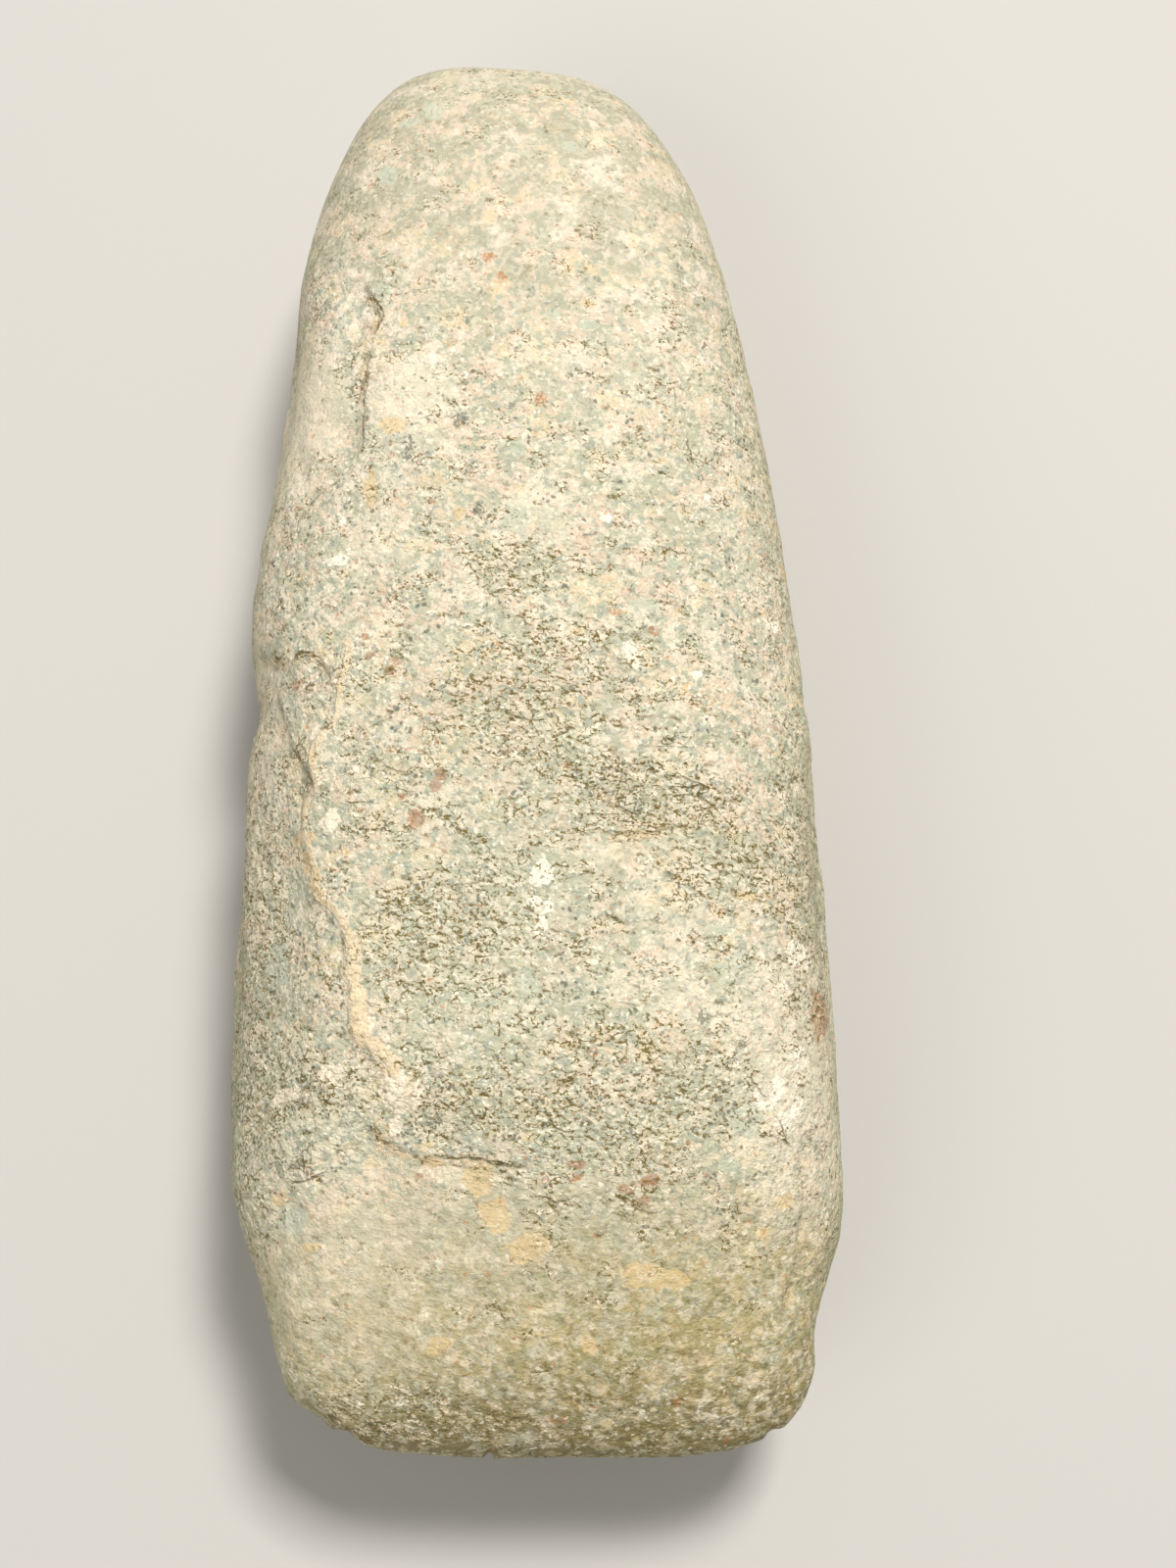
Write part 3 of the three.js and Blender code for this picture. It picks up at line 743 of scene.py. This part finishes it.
def pecking_tree():
    """Geometry nodes that peck a stone's surface all over, less where it was ground."""
    tree = bpy.data.node_groups.new("Pecked surface", "GeometryNodeTree")
    sockets = (
        ("Geometry", "NodeSocketGeometry"),
        ("Peck Size", "NodeSocketFloat"),
        ("Peck Depth", "NodeSocketFloat"),
        ("Grit Size", "NodeSocketFloat"),
        ("Grit Depth", "NodeSocketFloat"),
        ("Seed", "NodeSocketInt"),
        ("Material", "NodeSocketMaterial"),
    )
    for name, kind in sockets:
        tree.interface.new_socket(name, in_out="INPUT", socket_type=kind)
    tree.interface.new_socket("Geometry", in_out="OUTPUT", socket_type="NodeSocketGeometry")
    given = add_node(tree, "NodeGroupInput").outputs
    position = add_result(tree, "GeometryNodeInputPosition")
    normal = add_result(tree, "GeometryNodeInputNormal")
    ground, broken = (
        add_result(tree, "GeometryNodeInputNamedAttribute", {"Name": name}, data_type="FLOAT")
        for name in ("ground", "broken")
    )
    less = add_result(tree, "ShaderNodeMapRange", {"Value": ground, "To Min": 0.75, "To Max": 0.2})
    pecked = weighted_sum(tree, less, (broken, 0.6))
    peck_scale, grit_scale = (
        add_result(tree, "ShaderNodeMath", {0: 1.0, 1: given[size]}, operation="DIVIDE")
        for size in ("Peck Size", "Grit Size")
    )

    # Peck marks: one dent in each cell, deeper in some patches than in others
    cells = add_node(
        tree,
        "ShaderNodeTexVoronoi",
        {"Vector": position, "W": given["Seed"], "Scale": peck_scale},
        voronoi_dimensions="4D",
        feature="F1",
    ).outputs["Distance"]
    dent = add_result(
        tree,
        "ShaderNodeMapRange",
        {"Value": cells, "From Min": 0.1, "From Max": 0.55, "To Min": 1.0, "To Max": 0.0},
        interpolation_type="SMOOTHSTEP",
    )
    patches = add_result(
        tree,
        "ShaderNodeTexNoise",
        {"Vector": position, "W": given["Seed"], "Scale": 1 / (PECK_PATCH * MM), "Detail": 2.0},
        noise_dimensions="4D",
    )
    strength = add_result(
        tree,
        "ShaderNodeMapRange",
        {"Value": patches, "From Min": 0.35, "From Max": 0.65, "To Min": 0.15, "To Max": 1.0},
    )
    mark = product(tree, dent, strength, pecked)
    sunk = product(tree, mark, given["Peck Depth"])

    # Grit: the roughness of the broken grains between the marks
    grit = add_result(
        tree,
        "ShaderNodeTexNoise",
        {"Vector": position, "W": given["Seed"], "Scale": grit_scale, "Detail": 4.0, "Roughness": 0.6},
        noise_dimensions="4D",
    )
    grit = product(tree, weighted_sum(tree, -0.5, (grit, 1.0)), given["Grit Depth"], pecked)
    rise = weighted_sum(tree, grit, (sunk, -1.0))

    # The relief moves each point along its normal, but never below the floor
    offset = add_result(tree, "ShaderNodeVectorMath", {0: normal, "Scale": rise}, operation="SCALE")
    moved = add_result(tree, "ShaderNodeVectorMath", {0: position, 1: offset}, operation="ADD")
    limits = {0: moved, 1: LOWEST_CORNER}
    above = add_result(tree, "ShaderNodeVectorMath", limits, operation="MAXIMUM")
    shape = {"Geometry": given["Geometry"], "Position": above}
    shaped = add_result(tree, "GeometryNodeSetPosition", shape)
    stored = add_result(
        tree,
        "GeometryNodeStoreNamedAttribute",
        {"Geometry": shaped, "Name": "peck", "Value": mark},
        data_type="FLOAT",
        domain="POINT",
    )
    real = add_result(tree, "GeometryNodeRealizeInstances", {"Geometry": stored})
    paint = {"Geometry": real, "Material": given["Material"]}
    finished = add_result(tree, "GeometryNodeSetMaterial", paint)
    add_node(tree, "NodeGroupOutput", {"Geometry": finished})
    return tree


def peck(stone, sizes, material):
    """Pecks the stone's surface and turns the result into its plain mesh."""
    tree = pecking_tree()
    modifier = stone.modifiers.new("Pecking", "NODES")
    modifier.node_group = tree
    values = {
        "Peck Size": sizes.peck_size,
        "Peck Depth": sizes.peck_depth,
        "Grit Size": sizes.grit_size,
        "Grit Depth": sizes.grit_depth,
        "Seed": sizes.seed,
        "Material": material,
    }
    for item in tree.interface.items_tree:
        if item.in_out == "INPUT" and item.name in values:
            modifier[item.identifier] = values[item.name]
    apply_modifiers(stone)
    stone.data.shade_smooth()


def lay_over(tree, under, colour, mask, strength=1.0):
    """Paints a colour over another one where a mask is 1."""
    inputs = {0: product(tree, mask, strength), 6: under, 7: colour}
    return add_node(tree, "ShaderNodeMix", inputs, data_type="RGBA", clamp_factor=True).outputs[2]


def blotches(tree, vector, size, share, softness, detail=3.0):
    """A mask of soft-edged patches, of a size in mm, that cover about a share of the stone."""
    field = add_result(
        tree,
        "ShaderNodeTexNoise",
        {"Vector": vector, "Scale": 1 / (size * MM), "Detail": detail, "Roughness": 0.62},
    )
    # The noise is about bell-shaped round 0.5, so this edge leaves the wanted share above it
    edge = 0.5 + 0.2 * (0.5 - share)
    return add_result(
        tree,
        "ShaderNodeMapRange",
        {"Value": field, "From Min": edge - softness / 2, "From Max": edge + softness / 2},
        interpolation_type="SMOOTHSTEP",
    )


def grains(tree, cells, channel, share):
    """A mask of separate angular grains: about a share of the cells of a Voronoi texture."""
    lot = add_node(tree, "ShaderNodeSeparateColor", {0: cells["Color"]}).outputs[channel]
    chosen = add_result(tree, "ShaderNodeMath", {0: lot, 1: share}, operation="LESS_THAN")
    body = add_result(
        tree,
        "ShaderNodeMapRange",
        {"Value": cells["Distance"], "From Min": 0.35, "From Max": 0.6, "To Min": 1.0, "To Max": 0.0},
        interpolation_type="SMOOTHSTEP",
    )
    return product(tree, chosen, body)


def stain_mask(tree, vector, name, raggedness, size, softness):
    """A mask from a stored spot, its border broken up by noise of a size in mm."""
    spot = add_node(tree, "ShaderNodeAttribute", attribute_name=name).outputs["Fac"]
    noise_inputs = {"Vector": vector, "Scale": 1 / (size * MM), "Detail": 3.0}
    field = add_result(tree, "ShaderNodeTexNoise", noise_inputs)
    level = weighted_sum(tree, -0.5 * raggedness, (field, raggedness), (spot, 1.0))
    return add_result(
        tree,
        "ShaderNodeMapRange",
        {"Value": level, "From Min": -0.1 - softness / 2, "From Max": -0.1 + softness / 2},
        interpolation_type="SMOOTHSTEP",
    )


def band(tree, value, low, high, soft):
    """A mask that is 1 where a value lies between low and high, with soft borders outside."""
    rise, fall = (
        add_result(tree, "ShaderNodeMapRange", {"Value": value, "From Min": start, "From Max": end})
        for start, end in ((low - soft, low), (high + soft, high))
    )
    return product(tree, rise, fall)


def layer_inputs(tree):
    """What the layers of the skin depend on, by name: vectors, stored values and shared masks."""
    given = {
        name: add_node(tree, "ShaderNodeAttribute", attribute_name=name).outputs["Fac"]
        for name in (
            "ground", "flank", "peck", "broken", "olive", "from_edge", "worn", "cream",
            "scarp_line", "scarp_share", "vein_line", "vein_share", "crack_line", "crack_share",
        )
    }
    at = add_node(tree, "ShaderNodeTexCoord").outputs["Object"]

    # The patches and grains have wandering borders
    wander = {"Vector": at, "Scale": 1 / (1.4 * MM), "Detail": 2.0}
    wander = add_node(tree, "ShaderNodeTexNoise", wander).outputs["Color"]
    centred = {0: wander, 1: (0.5, 0.5, 0.5)}
    centred = add_result(tree, "ShaderNodeVectorMath", centred, operation="SUBTRACT")
    moved = {0: centred, 1: (1.1 * MM,) * 3, 2: at}
    given["warped"] = add_result(tree, "ShaderNodeVectorMath", moved, operation="MULTIPLY_ADD")

    # The pecked crust runs a little crosswise, down to the right
    turned = {"Vector": at, "Rotation": (0.0, 0.0, math.radians(-12)), "Scale": (1.3, 1.0, 1.0)}
    given["crosswise"] = add_result(tree, "ShaderNodeMapping", turned, vector_type="TEXTURE")
    given["specks"] = blotches(tree, given["crosswise"], 0.3, 0.5, 0.2, detail=2.0)
    given["mixed"] = blotches(tree, given["warped"], 3.5, 0.6, 0.3)

    # Single grains show less where the stone was ground, and the painted shade and highlight of
    # the ledges, the dirt and the lines come and go in patches
    given["grain"] = weighted_sum(tree, 1.0, (given["ground"], -0.55))
    crowding_inputs = {"Vector": given["crosswise"], "Scale": 1 / (2.6 * MM), "Detail": 3.0}
    given["crowding"] = add_result(tree, "ShaderNodeTexNoise", crowding_inputs)
    return given


def lay_skin(tree, colours, given):
    """The weathered skin with its broad patches and its pale and cool grains."""
    near = {"Value": given["from_edge"], "From Min": 115.0, "From Max": 25.0}
    near_blade = add_result(tree, "ShaderNodeMapRange", near)
    colour = lay_over(tree, colours.skin, colours.blade_skin, near_blade)
    for shade, size, share, soft, strength in (
        (colours.peach, 6.0, 0.6, 0.1, 0.9),
        (colours.yellow, 5.0, 0.25, 0.1, 0.5),
        (colours.grey_green, 4.0, 0.3, 0.06, 0.75),
        (colours.grey_green, 1.8, 0.35, 0.05, 0.75),
    ):
        patches = blotches(tree, given["warped"], size, share, soft)
        colour = lay_over(tree, colour, shade, patches, strength)
    colour = lay_over(tree, colour, colours.grey_green, given["worn"], 0.45)
    mottled = weighted_sum(tree, 0.45, (blotches(tree, given["warped"], 4.0, 0.5, 0.1), 1.1))
    colour = lay_over(tree, colour, colours.bare, product(tree, given["ground"], mottled), 0.42)
    for shade, size, share, soft, strength in (
        (colours.blue_grey, 0.9, 0.2, 0.04, 0.65),
        (colours.cream, 0.8, 0.3, 0.06, 0.55),
        (colours.grey_green, 0.3, 0.5, 0.16, 0.35),
    ):
        fine = product(tree, blotches(tree, given["warped"], size, share, soft), given["grain"])
        colour = lay_over(tree, colour, shade, fine, strength)
    whole = product(tree, given["worn"], -1.0)
    return lay_over(tree, colour, colours.cream, whole, 0.55)


def lay_bevel_and_flanks(tree, colours, given, colour):
    """The yellower bevel with the stone's own patches, the barer sides and the grimy edge."""
    tint = product(tree, given["olive"], weighted_sum(tree, 0.4, (given["mixed"], 0.6)))
    colour = lay_over(tree, colour, colours.olive, tint, 0.7)
    for shade, size, share, strength in (
        (colours.grey_green, 2.4, 0.4, 0.75),
        (colours.ochre, 2.0, 0.25, 0.4),
        (colours.cream, 1.7, 0.2, 0.35),
        (colours.olive, 1.2, 0.35, 0.7),
        (colours.pit, 0.9, 0.15, 0.35),
    ):
        mineral = product(tree, blotches(tree, given["warped"], size, share, 0.07), given["olive"])
        colour = lay_over(tree, colour, shade, mineral, strength)
    sides = product(tree, given["flank"], weighted_sum(tree, 0.3, (given["mixed"], 0.7)))
    colour = lay_over(tree, colour, colours.flank, sides, 0.38)
    near = {"Value": given["from_edge"], "From Min": 10.0, "From Max": 2.5}
    grime = blotches(tree, given["warped"], 1.2, 0.6, 0.15)
    grime = product(tree, add_result(tree, "ShaderNodeMapRange", near), grime)
    return lay_over(tree, colour, colours.pit, grime, 0.65)


def lay_stains(tree, colours, given, colour):
    """The stains and crystals that have a place of their own."""
    spot = {
        name: stain_mask(tree, given["warped"], name, raggedness, size, softness)
        for name, raggedness, size, softness in (
            ("crystal", 3.0, 1.2, 0.5),
            ("ochre", 3.0, 1.0, 0.5),
            ("cream", 2.0, 0.8, 0.25),
            ("rust", 3.0, 0.8, 0.5),
            ("plum", 2.5, 0.8, 0.5),
            ("chalk", 2.2, 0.5, 0.2),
            ("dark", 8.0, 0.3, 0.5),
        )
    }
    stroke_inputs = {"Vector": given["warped"], "Scale": 1 / (1.0 * MM), "Detail": 2.0}
    strokes = band(tree, add_result(tree, "ShaderNodeTexNoise", stroke_inputs), 0.47, 0.53, 0.03)
    for shade, mask, strength in (
        (colours.crystal, spot["crystal"], 0.7),
        (colours.ochre, spot["ochre"], 0.55),
        (colours.cream, spot["cream"], 0.95),
        (colours.rust, product(tree, spot["rust"], strokes), 0.6),
        (colours.rust, spot["rust"], 0.3),
        (colours.plum, spot["plum"], 0.65),
        (colours.rust, product(tree, spot["plum"], strokes), 0.45),
        (colours.chalk, spot["chalk"], 0.95),
        (colours.dark_green, spot["dark"], 0.6),
    ):
        colour = lay_over(tree, colour, shade, mask, strength)
    return colour


def lay_grains(tree, colours, given, colour):
    """Dark grains, most of them in patches, and small pale glints and rusty grains."""
    patches = blotches(tree, given["warped"], 3.2, 0.35, 0.1)
    crowd = product(tree, weighted_sum(tree, 0.1, (patches, 0.9)), given["grain"])
    cell_inputs = {"Vector": given["warped"], "Scale": 1 / (0.45 * MM)}
    cells = add_node(tree, "ShaderNodeTexVoronoi", cell_inputs, feature="F1").outputs
    dark = product(tree, grains(tree, cells, 0, 0.22), crowd)
    colour = lay_over(tree, colour, colours.dark_green, dark, 0.7)
    glints = product(tree, grains(tree, cells, 1, 0.12), given["grain"])
    colour = lay_over(tree, colour, colours.chalk, glints, 0.65)
    return lay_over(tree, colour, colours.rust, grains(tree, cells, 2, 0.02), 0.45)


def lay_lines(tree, colours, given, colour):
    """The vein, a frayed ribbon, and the scarps' lips, and the masks of what follows a line."""
    fray = add_result(
        tree,
        "ShaderNodeTexNoise",
        {"Vector": given["crosswise"], "Scale": 1 / (1.4 * MM), "Detail": 4.0, "Roughness": 0.65},
    )
    here_inputs = {"Value": given["crowding"], "From Min": 0.44, "From Max": 0.54}
    here = add_result(tree, "ShaderNodeMapRange", here_inputs)

    # The scarps end in doubled lips, with a seam of painted shade below them, standing in for the
    # step's shadow, and a rubbed border above
    edges = [
        weighted_sum(tree, -offset * MM, (wander, 2.4 * MM), (given["scarp_line"], 1.0))
        for offset, wander in ((1.2, fray), (2.0, given["crowding"]))
    ]
    lips = [band(tree, edge, 0.1 * MM, 9.0 * MM, 0.2 * MM) for edge in edges]
    seams = [band(tree, edge, 0.0, 0.1 * MM, 0.14 * MM) for edge in edges]
    lip = product(tree, weighted_sum(tree, lips[0], (lips[1], 0.6)), given["scarp_share"])
    seam = weighted_sum(tree, seams[0], (seams[1], 0.7))
    seam = product(tree, seam, given["scarp_share"], here)
    rubbed = band(tree, edges[1], -0.8 * MM, -0.2 * MM, 0.25 * MM)
    rubbed = product(tree, rubbed, given["scarp_share"], here)

    # A crack is a thin frayed line of dirt
    crack = weighted_sum(tree, -0.6 * MM, (fray, 1.2 * MM), (given["crack_line"], 1.0))
    crack = band(tree, crack, -0.03 * MM, 0.03 * MM, 0.14 * MM)
    crack = product(tree, crack, given["crack_share"], weighted_sum(tree, 0.3, (here, 0.7)))

    # The vein is a broken ribbon, cream with yellow patches
    ribbon = weighted_sum(tree, -1.1 * MM, (fray, 2.2 * MM), (given["vein_line"], 1.0))
    ribbon = band(tree, ribbon, -0.65 * MM, 0.75 * MM, 0.25 * MM)
    ribbon = product(tree, ribbon, given["vein_share"], weighted_sum(tree, 0.7, (here, 0.3)))
    yellow = product(tree, ribbon, weighted_sum(tree, 0.25, (given["mixed"], 0.75)))
    colour = lay_over(tree, colour, colours.cream, ribbon, 0.9)
    colour = lay_over(tree, colour, colours.ochre, yellow, 0.7)
    colour = lay_over(tree, colour, colours.ochre, rubbed, 0.6)
    return colour, {"lip": lip, "seam": seam, "crack": crack, "ribbon": ribbon}


def lay_crust(tree, colours, given, colour, line):
    """Painted shade and highlight and dark pits of a flaky crust, and the height of its fine relief.

    Its short ledges drop towards the cutting edge, away from the key light. Painted shade sits
    under them and along thin creases, and a painted highlight on their upper rims, which face
    the light. The lowest parts of the crust and the peck marks are darker, the scarps' seams
    carry painted shade and the cracks dirt. They crowd where the surface is broken.
    """
    # The crust's slope towards +Y, where the key light stands: where it rises, the surface faces away from
    # the light and gets painted shade (ledge); where it falls, it gets a painted highlight (rim)
    shift = {0: given["crosswise"], 1: (0.0, 0.2 * MM, 0.0)}
    ahead = add_result(tree, "ShaderNodeVectorMath", shift, operation="ADD")
    crust, rise = (
        add_result(
            tree,
            "ShaderNodeTexNoise",
            {"Vector": vector, "Scale": 1 / (1.15 * MM), "Detail": 4.0, "Roughness": 0.68},
        )
        for vector in (given["crosswise"], ahead)
    )
    slope = weighted_sum(tree, rise, (crust, -1.0))
    ledge, rim, pit, smooth_patch = (
        add_result(tree, "ShaderNodeMapRange", {"Value": value, "From Min": start, "From Max": end})
        for value, start, end in (
            (slope, 0.07, 0.11),
            (slope, -0.06, -0.12),
            (crust, 0.4, 0.3),
            (given["cream"], -0.5, 0.2),
        )
    )
    crowding = weighted_sum(
        tree,
        given["crowding"],
        (given["broken"], 0.2),
        (given["worn"], 0.07),
        (smooth_patch, -0.2),
        (given["ground"], -0.06),
    )
    crowded = add_result(
        tree,
        "ShaderNodeMapRange",
        {"Value": crowding, "From Min": 0.46, "From Max": 0.7, "To Min": 0.15, "To Max": 2.6},
        interpolation_type="SMOOTHSTEP",
    )
    # Thin creases in speckled stretches get painted shade as well
    crease_inputs = {"Vector": given["crosswise"], "Scale": 1 / (0.9 * MM), "Detail": 3.0}
    crease = band(tree, add_result(tree, "ShaderNodeTexNoise", crease_inputs), 0.49, 0.51, 0.025)
    ledge = weighted_sum(tree, product(tree, crease, given["specks"]), (ledge, 0.5))
    # Painted shade under the ledges and along the creases and seams, darker peck marks and low crust, and
    # dirt in the cracks
    dirt_and_painted_shade = weighted_sum(
        tree,
        product(tree, ledge, crowded),
        (given["peck"], 0.15),
        (pit, 0.7),
        (line["seam"], 1.0),
        (line["crack"], 0.7),
    )
    # Painted highlight on the rims that face the light, darker specks where the surface is broken, then
    # the painted shade and dirt
    colour = lay_over(tree, colour, colours.cream, product(tree, rim, crowded), 0.4)
    colour = lay_over(tree, colour, colours.pit, product(tree, given["broken"], given["specks"]), 0.22)
    colour = lay_over(tree, colour, colours.pit, dirt_and_painted_shade, 0.8)
    heights = ((line["lip"], -0.25), (line["ribbon"], 0.12), (line["crack"], -0.2))
    return colour, weighted_sum(tree, crust, *heights)


def ground_greenstone(colours):
    """Greenstone, pecked to shape and ground smooth at the blade, under a weathered skin.

    Its minerals give the eye a fine salt and pepper of cream, peach, grey-green and dark
    grains, the pecked pits are darker, the crust carries painted shade and highlight at its
    small ledges, and the surface is matt with a dull gleam on the ground bevel.
    """
    material = bpy.data.materials.new("ground greenstone")
    material.use_nodes = True
    tree = material.node_tree
    tree.nodes.clear()
    given = layer_inputs(tree)
    colour = lay_skin(tree, colours, given)
    colour = lay_bevel_and_flanks(tree, colours, given, colour)
    colour = lay_stains(tree, colours, given, colour)
    colour = lay_grains(tree, colours, given, colour)
    colour, line = lay_lines(tree, colours, given, colour)
    colour, relief = lay_crust(tree, colours, given, colour, line)
    strength = weighted_sum(tree, 1.0, (given["ground"], -0.4))
    bump_inputs = {"Height": relief, "Strength": strength, "Distance": 0.85 * MM}
    bump = add_result(tree, "ShaderNodeBump", bump_inputs)
    gleam = weighted_sum(tree, 0.85, (given["ground"], -0.25))
    surface = add_result(
        tree,
        "ShaderNodeBsdfPrincipled",
        {"Base Color": colour, "Roughness": gleam, "Normal": bump, "IOR": 1.5, "Specular IOR Level": 0.35},
    )
    add_node(tree, "ShaderNodeOutputMaterial", {"Surface": surface})
    return material


def matt_floor(colour):
    """Matt painted board, which gives the eye a plain pale ground and nothing to look at."""
    material = bpy.data.materials.new("matt painted board")
    material.use_nodes = True
    surface = material.node_tree.nodes["Principled BSDF"]
    surface.inputs["Base Color"].default_value = colour
    surface.inputs["Roughness"].default_value = 0.9
    surface.inputs["Specular IOR Level"].default_value = 0.2
    return material


def soft_light(name, power):
    """A square soft light that faces the stone."""
    data = bpy.data.lights.new(name, "AREA")
    data.shape = "SQUARE"
    data.size = LIGHTS[name]["size"]
    data.energy = power
    data.color = LIGHTS[name]["tint"]
    light = bpy.data.objects.new(name, data)
    light.location = LIGHTS[name]["at"]
    facing = Vector(LIT_POINT) - light.location
    light.rotation_euler = facing.to_track_quat("-Z", "Y").to_euler()
    bpy.context.scene.collection.objects.link(light)


def flat_floor(colour):
    """A square floor under the stone."""
    half = FLOOR_SIZE / 2
    corners = [(-half, -half, 0), (half, -half, 0), (half, half, 0), (-half, half, 0)]
    mesh = bpy.data.meshes.new("floor")
    mesh.from_pydata(corners, [], [(0, 1, 2, 3)])
    mesh.materials.append(matt_floor(colour))
    floor = bpy.data.objects.new("floor", mesh)
    bpy.context.scene.collection.objects.link(floor)
    return floor


def photo_camera(settings):
    """The camera, which looks at its target from the set height and heading."""
    flat = math.cos(settings.elevation)
    forward = Vector(
        (
            math.sin(settings.heading) * flat,
            math.cos(settings.heading) * flat,
            -math.sin(settings.elevation),
        )
    )
    data = bpy.data.cameras.new("camera")
    data.sensor_fit = "VERTICAL"
    data.sensor_height = 36.0
    data.lens = settings.lens
    data.clip_start = 0.01
    camera = bpy.data.objects.new("camera", data)
    camera.location = Vector(settings.target) - forward * settings.distance
    camera.rotation_euler = forward.to_track_quat("-Z", "Y").to_euler()
    bpy.context.scene.collection.objects.link(camera)
    return camera


class STONEAXE_OT_head(bpy.types.Operator):
    """Make the dressed stone axe head"""

    bl_idname = "stoneaxe.head"
    bl_label = "Stone Axe Head"

    def execute(self, context):
        sizes = context.scene.stone_relief
        stone = merged_copy(STONE_NODE, DRESSED_NAME)
        refine(stone, sizes.mesh_step)
        carve(stone, sizes)
        peck(stone, sizes, ground_greenstone(context.scene.stone_colours))
        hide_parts(STONE_NODE)
        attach(stone, "root")
        return {"FINISHED"}


class STONEAXE_OT_studio(bpy.types.Operator):
    """Make the floor, the lights and the camera"""

    bl_idname = "stoneaxe.studio"
    bl_label = "Studio"

    def execute(self, context):
        scene = context.scene
        settings = scene.stone_studio
        floor = flat_floor(settings.floor_colour)
        soft_light("key", settings.key_power)
        soft_light("fill", settings.fill_power)

        world = bpy.data.worlds.new("studio")
        world.use_nodes = True
        sky = world.node_tree.nodes["Background"]
        sky.inputs["Color"].default_value = SKY_TINT
        sky.inputs["Strength"].default_value = SKY_STRENGTH
        scene.world = world
        scene.camera = photo_camera(settings)
        scene.view_settings.view_transform = "Standard"
        return {"FINISHED"}


class STONEAXE_PT_sidebar(bpy.types.Panel):
    """Sizes, colours and buttons of the stone axe head"""

    bl_label = "Stone Axe"
    bl_space_type = "VIEW_3D"
    bl_region_type = "UI"
    bl_category = "Stone Axe"

    def draw(self, context):
        for operator, settings in (
            (STONEAXE_OT_head, context.scene.stone_relief),
            (STONEAXE_OT_head, context.scene.stone_colours),
            (STONEAXE_OT_studio, context.scene.stone_studio),
        ):
            box = self.layout.box()
            for name in settings.__annotations__:
                box.prop(settings, name)
            box.operator(operator.bl_idname)


CLASSES = (
    ReliefSizes,
    StoneColours,
    StudioSettings,
    STONEAXE_OT_head,
    STONEAXE_OT_studio,
    STONEAXE_PT_sidebar,
)


def register():
    """Adds the classes and the settings that they read."""
    for cls in CLASSES:
        bpy.utils.register_class(cls)
    bpy.types.Scene.stone_relief = bpy.props.PointerProperty(type=ReliefSizes)
    bpy.types.Scene.stone_colours = bpy.props.PointerProperty(type=StoneColours)
    bpy.types.Scene.stone_studio = bpy.props.PointerProperty(type=StudioSettings)


def unregister():
    """Takes the classes and the settings away again."""
    del bpy.types.Scene.stone_studio
    del bpy.types.Scene.stone_colours
    del bpy.types.Scene.stone_relief
    for cls in reversed(CLASSES):
        bpy.utils.unregister_class(cls)


def main():
    """Registers the add-on and makes the stone and the studio."""
    register()
    bpy.ops.stoneaxe.studio()
    bpy.ops.stoneaxe.head()


if __name__ == "__main__":
    main()
